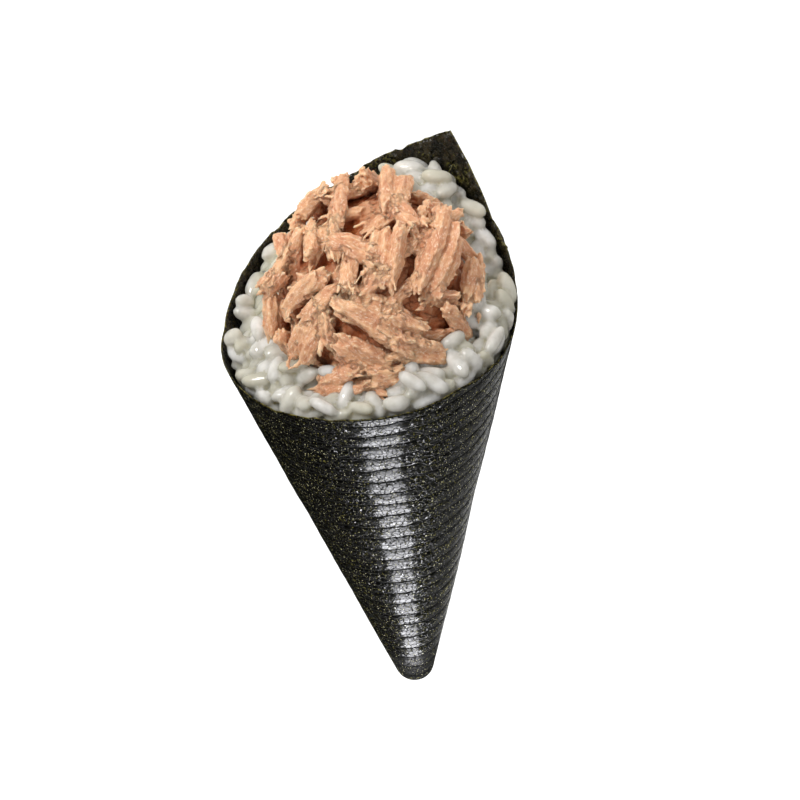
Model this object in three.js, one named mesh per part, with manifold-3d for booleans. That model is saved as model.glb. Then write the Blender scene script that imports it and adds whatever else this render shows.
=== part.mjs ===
// A temaki hand roll lying on its side: a sheet of toasted seaweed rolled into a cone and filled with
// sushi rice, with a heap of tuna flakes in its mouth. Millimetres, +Z up. The mouth faces -Y and the
// tip +Y. The origin is on the narrow flat that the cone rests on, about half way along the roll.
//
// The roll is modelled upright, about the apex of its cone: x is to its right, y to its back and z from
// tip to mouth. Azimuths turn from x towards y. The group then lays it down on its back.
import * as THREE from "three";
import { mergeVertices } from "three/addons/utils/BufferGeometryUtils.js";
import Module from "manifold-3d";

const wasm = await Module();
wasm.setup();
const { Manifold } = wasm;
const DEGREE = Math.PI / 180;
const TURN = 2 * Math.PI;

// The cone. Slants are distances from its apex, and heights are measured along its axis.
const HALF_ANGLE = 13.3 * DEGREE;
const TIP_RADIUS = 3.7;
const MOUTH_SLANT = 120;
const MOUTH = MOUTH_SLANT * Math.cos(HALF_ANGLE);
const APEX_Y = 75; // where the apex lies in the part's frame
const FLOOR_FLAT = 0.25; // how far the line that it rests on is pressed flat
// The sheet's cut edges at the mouth, straight once unrolled: [azimuth in degrees, slant] of each corner.
const RIM = [
  [-110, 123.5],
  [-60, 123.6],
  [-10, 119.5],
  [30, 125],
  [52, 138.6],
  [168, 115],
  [205, 119],
  [250, 123.5],
];

// The seaweed: the outer turn winds away from the inner one and ends in a step.
const WALL = 0.8;
const RIM_WALL = 0.45;
const RIM_TAPER = 5;
const OUTER_TURN = 0.3;
const OUTER_TURN_END = 18 * DEGREE;
const GAP = 0.3; // between touching pieces

// The rice: [azimuth in degrees, height] of its surface along the seaweed, and the height in the middle.
const RICE_EDGE = [
  [-90, 116.5],
  [-50, 116],
  [10, 115.5],
  [62, 124.5],
  [115, 116.5],
  [167, 108.5],
  [200, 108],
  [270, 116.5],
];
const RICE_MIDDLE = 119;
const GRAIN = { length: 5.9, width: 2.7, thickness: 2.4, sides: 5 };
const GRAIN_ROWS = [1.8, 4.2, 6.7]; // distances from the seaweed
const GRAIN_PITCH = 4.6;

// The heap of tuna: an ellipsoid of flakes.
const HEAP_CENTRE = new THREE.Vector3(2.2, 0.8, MOUTH + 5);
const HEAP_SIZE = new THREE.Vector3(18.7, 19.6, 18);
const HEAP_CORE = 0.92; // the packed core's share of it
// The large flakes are laid out as they look along a sight line from above the front, which leans a little.
const SIGHT_RISE = 48 * DEGREE;
const SIGHT_LEAN = 7.8 * DEGREE;
// [across and up from the middle of the mouth, heading in degrees, length, width, thickness]
const LARGE_FLAKES = [
  [0.0, 25.5, 90, 7.5, 5.0, 4.0],
  [-4.3, 19.6, 86, 11.0, 3.6, 3.0],
  [-6.8, 20.7, 105, 6.5, 2.0, 2.0],
  [-9.8, 17.8, 55, 7.5, 4.5, 3.6],
  [5.0, 21.0, 82, 10.5, 5.5, 4.2],
  [7.2, 16.6, 130, 7.0, 4.5, 3.0],
  [12.6, 17.6, 10, 7.0, 2.8, 2.4],
  [11.3, 13.7, 38, 11.5, 3.0, 3.0],
  [12.8, 9.4, 75, 14.5, 7.5, 5.5],
  [18.7, 6.3, 80, 7.5, 4.5, 3.2],
  [3.4, 9.5, 80, 11.5, 7.0, 4.6],
  [-5.6, 12.2, 95, 7.0, 3.5, 3.0],
  [-9.0, 12.0, 98, 9.0, 3.3, 2.4],
  [-12.6, 11.0, 55, 9.0, 3.0, 3.0],
  [-10.6, 4.0, 43, 11.0, 4.0, 3.6],
  [-2.0, 11.3, -20, 8.0, 5.0, 3.0],
  [-2.9, 6.5, 90, 6.5, 4.0, 2.6],
  [1.2, 5.0, 40, 4.0, 3.0, 2.6],
  [2.7, -1.0, -25, 16.5, 8.0, 4.2],
  [15.8, -1.8, -30, 11.0, 3.6, 3.2],
  [9.7, -6.8, -8, 11.0, 5.0, 3.4],
  [-0.9, -7.4, -35, 9.5, 6.5, 3.6],
  [-2.3, -12.0, -4, 14.0, 3.8, 3.2],
  [-10.3, -5.4, 72, 10.0, 6.0, 4.4],
  [-13.2, -6.0, 100, 7.5, 3.2, 3.0],
  [-15.6, 0.2, 88, 8.0, 3.8, 3.4],
  [-15.2, 5.6, 60, 6.0, 4.5, 3.2],
  [-13.8, 11.3, 105, 5.5, 3.0, 2.6],
  [-14.0, 7.6, 60, 6.0, 2.8, 2.6],
  [-6.7, -3.2, 105, 7.0, 2.4, 2.6],
  [-8.0, 1.3, 40, 8.0, 3.0, 2.6],
  [19.2, 2.2, 90, 7.0, 3.0, 2.6],
];
const SMALL_FLAKES = 44; // spread over the whole heap, beneath and behind the large ones
const LOWEST_FLAKE = -0.3; // sine of the latitude where they stop
const FLAKE_ROOM = 0.35; // how far around a flake the rice is cleared

const COLOURS = { seaweed: 0x1d2015, rice: 0xdcdcd4, tuna: 0xc98f68 };

// ---- helpers ----

// The same draws each time, evenly between two limits.
function seeded(seed) {
  let state = seed;
  return (low, high) => {
    state = (Math.imul(1664525, state) + 1013904223) >>> 0;
    return low + ((high - low) * state) / 2 ** 32;
  };
}

const azimuths = (count) => Array.from({ length: count }, (_, i) => (i / count) * TURN);

const around = (azimuth, radius, height) =>
  new THREE.Vector3(radius * Math.cos(azimuth), radius * Math.sin(azimuth), height);

// The radius at a height of a cone whose skin lies inside the roll's by an offset.
const coneRadius = (height, offset) => height * Math.tan(HALF_ANGLE) - offset / Math.cos(HALF_ANGLE);

// The two corners of a closed list on either side of an azimuth, and the azimuth in their range.
function between(corners, azimuth) {
  const start = corners[0][0];
  const degrees = start + THREE.MathUtils.euclideanModulo(azimuth / DEGREE - start, 360);
  const next = Math.max(1, corners.findIndex(([end]) => end > degrees));
  return [corners[next - 1], corners[next], degrees];
}

// The slant of the sheet's edge: a straight line in polar coordinates on the unrolled cone.
function rimSlant(azimuth) {
  const [[a0, s0], [a1, s1], a] = between(RIM, azimuth);
  const unrolled = DEGREE * Math.sin(HALF_ANGLE);
  const whole = Math.sin((a1 - a0) * unrolled);
  const parts = s0 * Math.sin((a - a0) * unrolled) + s1 * Math.sin((a1 - a) * unrolled);
  return (s0 * s1 * whole) / parts;
}

function riceEdge(azimuth) {
  const [[a0, h0], [a1, h1], a] = between(RICE_EDGE, azimuth);
  return THREE.MathUtils.lerp(h0, h1, THREE.MathUtils.smoothstep(a, a0, a1));
}

// The height of the rice's surface, a bowl or a dome between its edge and its middle.
function riceTop(azimuth, radius) {
  const edge = riceEdge(azimuth);
  const share = radius / coneRadius(edge, WALL + GAP);
  return RICE_MIDDLE + (edge - RICE_MIDDLE) * share * share;
}

// A closed skin over rings of equally many points, turning about the way from the first pole to the last.
function skin(firstPole, rings, lastPole) {
  const count = rings[0].length;
  const points = [firstPole, ...rings.flat(), lastPole];
  const at = (ring, i) => 1 + ring * count + (i % count);
  const last = rings.length - 1;
  const faces = [];
  for (let i = 0; i < count; i++) {
    faces.push(0, at(0, i + 1), at(0, i));
    for (let r = 0; r < last; r++) {
      faces.push(at(r, i), at(r, i + 1), at(r + 1, i + 1));
      faces.push(at(r, i), at(r + 1, i + 1), at(r + 1, i));
    }
    faces.push(points.length - 1, at(last, i), at(last, i + 1));
  }
  return new THREE.BufferGeometry().setFromPoints(points).setIndex(faces);
}

function solidOf(geometry) {
  geometry.deleteAttribute("normal");
  geometry.deleteAttribute("uv");
  const merged = mergeVertices(geometry, 1e-4);
  const vertProperties = merged.attributes.position.array;
  const triVerts = new Uint32Array(merged.index.array);
  return new Manifold(new wasm.Mesh({ numProp: 3, vertProperties, triVerts }));
}

const fuse = (geometries) => Manifold.union(geometries.map(solidOf));

// The largest of a solid's bodies: loose scraps are dropped and sealed hollows filled.
function wholeBody(solid) {
  return solid.decompose().reduce((a, b) => (b.volume() > a.volume() ? b : a));
}

function mesh(name, solid, detail, colour, roughness) {
  const { vertProperties, triVerts } = wholeBody(solid.simplify(detail)).getMesh();
  const geometry = new THREE.BufferGeometry();
  geometry.setAttribute("position", new THREE.BufferAttribute(vertProperties, 3));
  geometry.setIndex(new THREE.BufferAttribute(triVerts, 1));
  const material = new THREE.MeshStandardMaterial({ color: colour, roughness, metalness: 0 });
  const made = new THREE.Mesh(geometry, material);
  made.name = name;
  return made;
}

// ---- the seaweed ----

// The cone's round end, inside the roll's skin by an offset: its pole and rings, up to where it is straight.
function tip(offset, directions, steps) {
  const radius = TIP_RADIUS - offset;
  const centre = TIP_RADIUS / Math.sin(HALF_ANGLE);
  const rings = [];
  for (let k = 1; k <= steps; k++) {
    const turn = ((Math.PI / 2 - HALF_ANGLE) * k) / steps;
    const height = centre - radius * Math.cos(turn);
    rings.push(directions.map((azimuth) => around(azimuth, radius * Math.sin(turn), height)));
  }
  return { pole: new THREE.Vector3(0, 0, centre - radius), rings };
}

// How far the outer turn stands out at an azimuth.
function windingOut(azimuth) {
  return OUTER_TURN * THREE.MathUtils.euclideanModulo((OUTER_TURN_END - azimuth) / TURN, 1);
}

function seaweed() {
  const step = 0.5 * DEGREE;
  const directions = [...azimuths(72), OUTER_TURN_END - step, OUTER_TURN_END + step].sort((a, b) => a - b);
  const outer = tip(0, directions, 4);
  const inner = tip(WALL, directions, 3);
  const straightFrom = TIP_RADIUS / Math.tan(HALF_ANGLE);
  // A ring at a share of the way to the tapered rim, or with a share over 1 on the rim itself.
  const ring = (share, offset, wound) =>
    directions.map((azimuth) => {
      const end = rimSlant(azimuth) - RIM_TAPER;
      const slant = share > 1 ? end + RIM_TAPER : THREE.MathUtils.lerp(straightFrom, end, share);
      const height = slant * Math.cos(HALF_ANGLE);
      return around(azimuth, coneRadius(height, offset - wound * windingOut(azimuth)), height);
    });
  const outside = [ring(0.3, 0, 1), ring(0.6, 0, 1), ring(1, 0, 1), ring(2, 0, 1)];
  const inside = [ring(2, RIM_WALL, 0.4), ring(1, WALL, 0), ring(0.6, WALL, 0), ring(0.3, WALL, 0)];
  const rings = [...outer.rings, ...outside, ...inside, ...inner.rings.toReversed()];
  return solidOf(skin(outer.pole, rings, inner.pole));
}

// The room inside the seaweed, carried on past the mouth.
function roomInside(offset) {
  const directions = azimuths(36);
  const { pole, rings } = tip(offset, directions, 3);
  const beyond = 1.4 * MOUTH;
  rings.push(directions.map((azimuth) => around(azimuth, coneRadius(beyond, offset), beyond)));
  return solidOf(skin(pole, rings, new THREE.Vector3(0, 0, beyond)));
}

// ---- the rice ----

function packedRice(raised) {
  const directions = azimuths(36);
  const { pole, rings } = tip(WALL + GAP, directions, 3);
  for (const share of [1, 0.85, 0.65, 0.35]) {
    rings.push(
      directions.map((azimuth) => {
        const radius = share * coneRadius(riceEdge(azimuth), WALL + GAP);
        return around(azimuth, radius, riceTop(azimuth, radius) + raised);
      }),
    );
  }
  return solidOf(skin(pole, rings, new THREE.Vector3(0, 0, RICE_MIDDLE + raised)));
}

// A spindle along x with blunt ends.
function grainShape() {
  const rings = [-0.7, 0, 0.7].map((x) => {
    const reach = Math.sqrt(1 - Math.abs(x) ** 2.6) / 2;
    return azimuths(GRAIN.sides).map(
      (a) =>
        new THREE.Vector3(
          (x * GRAIN.length) / 2,
          reach * GRAIN.width * Math.cos(a),
          reach * GRAIN.thickness * Math.sin(a),
        ),
    );
  });
  const end = new THREE.Vector3(GRAIN.length / 2, 0, 0);
  return skin(end.clone().negate(), rings, end);
}

// A frame at a place: x along a direction and z out of the surface, then pitched and rolled.
function frameAt(place, along, normal, pitch, roll) {
  const x = along.clone().projectOnPlane(normal).normalize();
  const y = normal.clone().cross(x);
  return new THREE.Matrix4()
    .makeBasis(x, y, normal)
    .multiply(new THREE.Matrix4().makeRotationY(-pitch))
    .multiply(new THREE.Matrix4().makeRotationX(roll))
    .setPosition(place);
}

function grains() {
  const draw = seeded(11);
  const up = new THREE.Vector3(0, 0, 1);
  const made = [];
  for (const fromWall of GRAIN_ROWS) {
    const count = Math.round((TURN * (coneRadius(MOUTH, WALL) - fromWall)) / GRAIN_PITCH);
    for (let i = 0; i < count; i++) {
      const azimuth = ((i + draw(-0.3, 0.3)) / count) * TURN;
      const radius = coneRadius(riceEdge(azimuth), WALL) - fromWall;
      const place = around(azimuth, radius, riceTop(azimuth, radius) + draw(-0.4, 1.0));
      // Beside the seaweed they lie along it, and further in they lie any way.
      const turned = fromWall === GRAIN_ROWS[0] ? draw(-0.45, 0.45) : draw(0, Math.PI);
      const along = around(azimuth + Math.PI / 2 + turned, 1, 0);
      const frame = frameAt(place, along, up, draw(-0.45, 0.45), draw(0, Math.PI));
      const underTuna = place.clone().sub(HEAP_CENTRE).divide(HEAP_SIZE).length() < 1;
      if (!underTuna) made.push(grainShape().applyMatrix4(frame));
    }
  }
  return fuse(made);
}

// ---- the tuna ----

const towardSight = new THREE.Vector3(0, -Math.cos(SIGHT_RISE), Math.sin(SIGHT_RISE));
const lean = new THREE.Quaternion().setFromAxisAngle(towardSight, -SIGHT_LEAN);
const seenRight = new THREE.Vector3(1, 0, 0).applyQuaternion(lean);
const seenUp = new THREE.Vector3(0, Math.sin(SIGHT_RISE), Math.cos(SIGHT_RISE)).applyQuaternion(lean);

// The heap's surface in a direction that is given on the unit sphere.
function onHeap(direction) {
  return {
    place: direction.clone().multiply(HEAP_SIZE).add(HEAP_CENTRE),
    normal: direction.clone().divide(HEAP_SIZE).normalize(),
  };
}

// The heap's surface where the sight line through a seen point meets it, or comes nearest.
function seenOnHeap(across, up) {
  const point = new THREE.Vector3(0, 0, MOUTH)
    .addScaledVector(seenRight, across)
    .addScaledVector(seenUp, up)
    .sub(HEAP_CENTRE)
    .divide(HEAP_SIZE);
  const sight = towardSight.clone().divide(HEAP_SIZE);
  point.addScaledVector(sight, -point.dot(sight) / sight.lengthSq());
  const depth = Math.sqrt(Math.max(0, 1 - point.lengthSq()) / sight.lengthSq());
  return onHeap(point.addScaledVector(sight, depth).normalize());
}

// A slab of fibres along x, with ridged sides and torn ends, grown all round by a margin.
function flakeShape({ length, width, thickness, sides, seed }, margin) {
  const draw = seeded(seed);
  const ridges = azimuths(sides).map(() => draw(0.78, 1.12));
  const tear = azimuths(sides).map(() => draw(-0.09, 0.09));
  const boxy = (value) => Math.sign(value) * Math.abs(value) ** 0.7;
  const rings = [-0.42, 0, 0.42].map((x) => {
    const reach = x === 0 ? draw(0.9, 1.08) : draw(0.55, 0.85);
    const shift = draw(-0.08, 0.08) * width;
    return azimuths(sides).map((a, i) => {
      const across = boxy(Math.cos(a));
      const out = boxy(Math.sin(a));
      const torn = x === 0 ? 0 : tear[i];
      return new THREE.Vector3(
        length * (x + torn) + margin * Math.sign(x),
        (reach * ridges[i] * across * width) / 2 + shift + margin * Math.sign(across),
        (reach * ridges[i] * out * thickness) / 2 + margin * Math.sign(out),
      );
    });
  });
  const end = new THREE.Vector3(length / 2 + margin, 0, 0);
  return skin(end.clone().negate(), rings, end);
}

function largeFlakes(draw) {
  return LARGE_FLAKES.map(([across, up, heading, length, width, thickness], i) => {
    const { place, normal } = seenOnHeap(across, up);
    place.addScaledVector(normal, draw(0, 1.2));
    const seen = new THREE.Vector3()
      .addScaledVector(seenRight, Math.cos(heading * DEGREE))
      .addScaledVector(seenUp, Math.sin(heading * DEGREE));
    // Slid along the sight line onto the surface, a seen direction gets longer where the surface turns away.
    const facing = Math.max(towardSight.dot(normal), 0.6);
    const along = seen.addScaledVector(towardSight, -seen.dot(normal) / facing);
    return {
      length: length * Math.min(along.length(), 1.4),
      width,
      thickness,
      sides: 7,
      seed: 100 + i,
      frame: frameAt(place, along, normal, draw(-0.16, 0.16), draw(-0.25, 0.25)),
    };
  });
}

function smallFlakes(draw) {
  return Array.from({ length: SMALL_FLAKES }, (_, i) => {
    const rise = THREE.MathUtils.lerp(1, LOWEST_FLAKE, (i + 0.5) / SMALL_FLAKES);
    const goldenTurn = i * Math.PI * (3 - Math.sqrt(5));
    const { place, normal } = onHeap(around(goldenTurn, Math.sqrt(1 - rise * rise), rise));
    place.addScaledVector(normal, draw(-1.5, -0.5));
    const along = around(draw(0, TURN), 1, draw(-1, 1));
    return {
      length: draw(6, 9.5),
      width: draw(2.6, 4.4),
      thickness: draw(2, 3.2),
      sides: 5,
      seed: 200 + i,
      frame: frameAt(place, along, normal, draw(-0.3, 0.3), draw(-0.4, 0.4)),
    };
  });
}

function tunaHeap(margin) {
  const draw = seeded(5);
  const flakes = [...largeFlakes(draw), ...smallFlakes(draw)];
  const size = HEAP_SIZE.clone().multiplyScalar(HEAP_CORE).addScalar(margin);
  const core = new THREE.SphereGeometry(1, 16, 10).scale(...size).translate(...HEAP_CENTRE);
  return fuse([core, ...flakes.map((flake) => flakeShape(flake, margin).applyMatrix4(flake.frame))]);
}

// ---- the roll ----

const roll = new THREE.Group();
roll.rotation.set(Math.PI / 2 - HALF_ANGLE, 0, Math.PI);
roll.position.set(0, APEX_Y, -FLOOR_FLAT);
roll.updateMatrix();

// Everything below the floor, as it lies in the roll's own frame.
const floor = solidOf(
  new THREE.BoxGeometry(200, 400, 20).translate(0, 0, -10).applyMatrix4(roll.matrix.clone().invert()),
);
const room = roomInside(WALL + GAP);
const wrap = seaweed().subtract(floor);
const rice = packedRice(0).add(grains().subtract(tunaHeap(FLAKE_ROOM))).intersect(room);
const tuna = tunaHeap(0).subtract(packedRice(GAP)).intersect(room);

roll.add(
  mesh("nori_wrap", wrap, 0.01, COLOURS.seaweed, 0.35),
  mesh("sushi_rice", rice, 0.08, COLOURS.rice, 0.4),
  mesh("tuna_flakes", tuna, 0.06, COLOURS.tuna, 0.5),
);

const handRoll = new THREE.Group();
handRoll.add(roll);
export default handRoll;
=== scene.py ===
"""A temaki hand roll lying on its back: a cone of toasted seaweed, a ring of rice and a heap of tuna.

Lengths are in millimetres in the roll's own frame, as in the CAD source: about the apex of its cone, with
x to its right, y to its back and z from tip to mouth. Azimuths turn from x towards y.
"""
import math
from itertools import product

import bpy
import numpy as np
from mathutils import Matrix, Vector, kdtree


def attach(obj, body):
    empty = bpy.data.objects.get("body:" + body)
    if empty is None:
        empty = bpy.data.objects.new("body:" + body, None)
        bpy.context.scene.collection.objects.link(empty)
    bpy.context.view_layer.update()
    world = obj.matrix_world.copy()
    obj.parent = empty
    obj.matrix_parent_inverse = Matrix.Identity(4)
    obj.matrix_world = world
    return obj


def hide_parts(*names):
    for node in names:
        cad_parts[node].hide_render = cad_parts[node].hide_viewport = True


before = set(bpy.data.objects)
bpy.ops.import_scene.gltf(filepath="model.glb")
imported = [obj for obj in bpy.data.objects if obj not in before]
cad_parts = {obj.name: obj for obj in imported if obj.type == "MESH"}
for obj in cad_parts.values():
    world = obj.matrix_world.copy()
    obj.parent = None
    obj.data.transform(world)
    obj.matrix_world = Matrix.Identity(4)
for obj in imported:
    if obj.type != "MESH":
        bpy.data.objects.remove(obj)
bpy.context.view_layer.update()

MM = 0.001
TURN = 2 * math.pi

# ---- the CAD source's dimensions ----

HALF_ANGLE = math.radians(13.3)
SIN_HALF = math.sin(HALF_ANGLE)
COS_HALF = math.cos(HALF_ANGLE)
TIP_RADIUS = 3.7
MOUTH_SLANT = 120
MOUTH = MOUTH_SLANT * COS_HALF
APEX_Y = 75
FLOOR_FLAT = 0.25
RIM = [  # the cut edges at the mouth: azimuth in degrees and slant of each corner
    (-110, 123.5),
    (-60, 123.6),
    (-10, 119.5),
    (30, 125),
    (52, 138.6),
    (168, 115),
    (205, 119),
    (250, 123.5),
]
OUTER_TURN = 0.3
OUTER_TURN_END = 18
RICE_EDGE = [  # the rice's surface along the seaweed: azimuth in degrees and height
    (-90, 116.5),
    (-50, 116),
    (10, 115.5),
    (62, 124.5),
    (115, 116.5),
    (167, 108.5),
    (200, 108),
    (270, 116.5),
]
RICE_MIDDLE = 119
WALL_AND_GAP = 1.1
HEAP_CENTRE = np.array([2.2, 0.8, MOUTH + 5])
HEAP_SIZE = np.array([18.7, 19.6, 18.0])
SIGHT_RISE = math.radians(48)
SIGHT_LEAN = math.radians(7.8)
LARGE_FLAKES = [  # as seen from the middle of the mouth: across, up, heading, length, width, thickness
    (0.0, 25.5, 90, 7.5, 5.0, 4.0),
    (-4.3, 19.6, 86, 11.0, 3.6, 3.0),
    (-6.8, 20.7, 105, 6.5, 2.0, 2.0),
    (-9.8, 17.8, 55, 7.5, 4.5, 3.6),
    (5.0, 21.0, 82, 10.5, 5.5, 4.2),
    (7.2, 16.6, 130, 7.0, 4.5, 3.0),
    (12.6, 17.6, 10, 7.0, 2.8, 2.4),
    (11.3, 13.7, 38, 11.5, 3.0, 3.0),
    (12.8, 9.4, 75, 14.5, 7.5, 5.5),
    (18.7, 6.3, 80, 7.5, 4.5, 3.2),
    (3.4, 9.5, 80, 11.5, 7.0, 4.6),
    (-5.6, 12.2, 95, 7.0, 3.5, 3.0),
    (-9.0, 12.0, 98, 9.0, 3.3, 2.4),
    (-12.6, 11.0, 55, 9.0, 3.0, 3.0),
    (-10.6, 4.0, 43, 11.0, 4.0, 3.6),
    (-2.0, 11.3, -20, 8.0, 5.0, 3.0),
    (-2.9, 6.5, 90, 6.5, 4.0, 2.6),
    (1.2, 5.0, 40, 4.0, 3.0, 2.6),
    (2.7, -1.0, -25, 16.5, 8.0, 4.2),
    (15.8, -1.8, -30, 11.0, 3.6, 3.2),
    (9.7, -6.8, -8, 11.0, 5.0, 3.4),
    (-0.9, -7.4, -35, 9.5, 6.5, 3.6),
    (-2.3, -12.0, -4, 14.0, 3.8, 3.2),
    (-10.3, -5.4, 72, 10.0, 6.0, 4.4),
    (-13.2, -6.0, 100, 7.5, 3.2, 3.0),
    (-15.6, 0.2, 88, 8.0, 3.8, 3.4),
    (-15.2, 5.6, 60, 6.0, 4.5, 3.2),
    (-13.8, 11.3, 105, 5.5, 3.0, 2.6),
    (-14.0, 7.6, 60, 6.0, 2.8, 2.6),
    (-6.7, -3.2, 105, 7.0, 2.4, 2.6),
    (-8.0, 1.3, 40, 8.0, 3.0, 2.6),
    (19.2, 2.2, 90, 7.0, 3.0, 2.6),
]
SMALL_FLAKES = 44
LOWEST_FLAKE = -0.3

# ---- what the scene adds ----

# The seaweed's sheet
COLUMNS = 340
ROW_STEP = 0.6
SHEET = 0.3
RIM_SHEET = 0.2  # at the cut edge
RING_STEP = 4.5
RING_HEIGHT = 0.06
WAVE_HEIGHT = 0.2
CRINKLE_HEIGHT = 0.012
STEP_HALF = 0.25  # of the step at the outer turn's end, in degrees
NOTCHED_RADIUS = 27.0
FAR_FROM_RIM = 99.0

# The rice
GRAINS = 430
GRAIN_LENGTH = (5.2, 6.6)
GRAIN_WIDTH = (2.7, 3.2)
GRAIN_SIDES = 16
GRAIN_RINGS = 12
BALL = 1.2  # a grain settles as three balls of this radius,
BALL_STEP = 1.6  # this far apart
FIRST_GAP = 1.4  # between the seaweed and the outermost grains at the start
ALONG_WALL = 2.8  # grains that start nearer to the seaweed lie along it
RING_WIDTH = 7.0  # of the band where grains start
GRAIN_LAYERS = 3
LAYER_RISE = 2.2
LOWEST_BALL = 2.4  # how far below the rice's surface grains may sink
OVERLAP_PUSH = 0.4
CORE_PUSH = 0.6
HEAP_PUSH = 0.5
SETTLING_STEPS = 90
SINKING_STEPS = 70
SINKING = 0.09
SWELLING = 0.13
RICE_VOXEL = 0.24
LEAST_GRAIN = 4.0  # the least loose volume that is kept
RICE_TRIANGLES = 190_000
CORE_DEPTH = 1.0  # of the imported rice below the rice's surface
CORE_SIDES = 120
CORE_HEIGHTS = (16, 40, 70, 95)
CORE_BOTTOM = 14.5
SHOWN_WALL = 1.0  # of the seaweed stands clear behind the grains
LEAST_FACING = 0.3  # no grain hides a flake that faces the camera more than this
FLAKE_MARGINS = (0.5, 0.8)  # how far past its ends and sides it is clear
COVER = 6  # how far before it

# The tuna
FRONT_FLAKES = [  # as in LARGE_FLAKES, and how far each stands out of the heap
    (-4.2, -11.2, 14, 9.0, 5.5, 4.0, 1.6),
    (2.6, -10.4, 8, 8.5, 4.5, 3.6, 1.4),
]
CORE_SHARE = 0.88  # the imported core's share of the heap
HEAP_CORE_BASE = -0.62  # where the heap's core is cut off, in radians from its middle
HEAP_CORE_RINGS = 24
HEAP_CORE_SIDES = 48
BLOCK_WIDTH = 2.7
HIDDEN_DEPTH = 0.5  # a flake that lies deeper than this in the rice is left out
FLAKE_CURVE = 1 / 90
COARSE_VOXEL = 0.4  # of the skin that the shreds stand on
TUNA_VOXEL = 0.22
LEAST_LUMP = 3.0
TUNA_TRIANGLES = 190_000
SHREDS = 1500

# The floor in metres, and the even light from all round
FLOOR_HALF = 1.5
AMBIENT = 0.3

# The camera looks along the sight line, at this point of the roll's frame.
CAMERA_AIM = Vector((4.04, 0.0, 92.2))
CAMERA_DISTANCE = 920.8
LENS = 225
SENSOR = 36

ROLL = (
    Matrix.Translation((0, APEX_Y * MM, -FLOOR_FLAT * MM))
    @ Matrix.Rotation(math.pi / 2 - HALF_ANGLE, 4, "X")
    @ Matrix.Rotation(math.pi, 4, "Z")
)
DOWN = np.array(ROLL.to_3x3().inverted() @ Vector((0, 0, -1)))


# ---- helpers ----


def seeded(state):
    """The same draws as in the CAD source, evenly between two limits."""

    def draw(low, high):
        nonlocal state
        state = (1664525 * state + 1013904223) % 2**32
        return low + (high - low) * state / 2**32

    return draw


def noise(points, cell, seed=0):
    """Smooth noise from -1 to 1 at points, with cells of a size in each axis."""
    scaled = points / np.asarray(cell, dtype=float)
    corner = np.floor(scaled).astype(np.int64)
    share = scaled - corner
    share = share * share * (3 - 2 * share)
    total = np.zeros(len(points))
    for step in product((0, 1), repeat=3):
        at = corner + np.array(step)
        mixed = at[:, 0] * 374761393 + at[:, 1] * 668265263 + at[:, 2] * 2246822519 + seed * 3266489917
        mixed &= 0xFFFFFFFF
        mixed = ((mixed ^ (mixed >> 15)) * 2246822519) & 0xFFFFFFFF
        mixed = ((mixed ^ (mixed >> 13)) * 3266489917) & 0xFFFFFFFF
        value = (mixed ^ (mixed >> 16)) / 2**31 - 1
        total += value * np.prod(np.where(np.array(step) == 1, share, 1 - share), axis=1)
    return total


def unit(vector):
    return vector / np.linalg.norm(vector)


def unit_rows(vectors):
    return vectors / np.linalg.norm(vectors, axis=1, keepdims=True)


def row_dots(first, second):
    return np.einsum("ni,ni->n", first, second)


def azimuth_of(points):
    return np.arctan2(points[:, 1], points[:, 0])


def turns(count):
    return np.arange(count) / count * TURN


def around(azimuth, radius, height):
    azimuth, radius, height = np.broadcast_arrays(azimuth, radius, height)
    return np.stack([radius * np.cos(azimuth), radius * np.sin(azimuth), height], axis=-1)


def cone_radius(height, offset):
    return height * math.tan(HALF_ANGLE) - offset / COS_HALF


def between(corners, degrees):
    """The corners of a closed list on either side of each azimuth, and the azimuth in their range."""
    table = np.array(corners, dtype=float)
    degrees = table[0, 0] + np.mod(degrees - table[0, 0], 360)
    after = np.clip(np.searchsorted(table[:, 0], degrees, side="right"), 1, len(table) - 1)
    return table[after - 1], table[after], degrees


def rim_slant(degrees):
    first, second, degrees = between(RIM, degrees)
    unrolled = math.radians(1) * SIN_HALF
    whole = np.sin((second[:, 0] - first[:, 0]) * unrolled)
    parts = first[:, 1] * np.sin((degrees - first[:, 0]) * unrolled)
    parts += second[:, 1] * np.sin((second[:, 0] - degrees) * unrolled)
    return first[:, 1] * second[:, 1] * whole / parts


def rice_edge(azimuth):
    first, second, degrees = between(RICE_EDGE, np.degrees(azimuth))
    share = (degrees - first[:, 0]) / (second[:, 0] - first[:, 0])
    return first[:, 1] + (second[:, 1] - first[:, 1]) * share * share * (3 - 2 * share)


def rice_top(azimuth, radius):
    edge = rice_edge(azimuth)
    share = radius / cone_radius(edge, WALL_AND_GAP)
    return RICE_MIDDLE + (edge - RICE_MIDDLE) * share * share


def below_rice(points):
    """How far each point is below the rice's surface."""
    return rice_top(azimuth_of(points), np.hypot(points[:, 0], points[:, 1])) - points[:, 2]


def skin(first_pole, rings, last_pole):
    """The points and faces of a closed skin that turns about the way from its first pole to its last."""
    rings = np.asarray(rings)
    steps, count = rings.shape[:2]
    points = np.concatenate([[first_pole], rings.reshape(-1, 3), [last_pole]])
    i = np.arange(count)
    after = (i + 1) % count
    starts = 1 + np.arange(steps)[:, None] * count
    low, high, last = starts[:-1], starts[1:], starts[-1]
    quads = np.stack([low + i, low + after, high + after, high + i], axis=-1).reshape(-1, 4)
    first_fan = np.stack([np.zeros_like(i), 1 + after, 1 + i], axis=-1)
    last_fan = np.stack([np.full_like(i, len(points) - 1), last + i, last + after], axis=-1)
    return points, [*quads.tolist(), *first_fan.tolist(), *last_fan.tolist()]


def joined(parts):
    """Several lots of points and faces as one."""
    faces = []
    start = 0
    for points, part_faces in parts:
        faces.extend([[start + i for i in face] for face in part_faces])
        start += len(points)
    return np.concatenate([points for points, _ in parts]), faces


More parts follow.
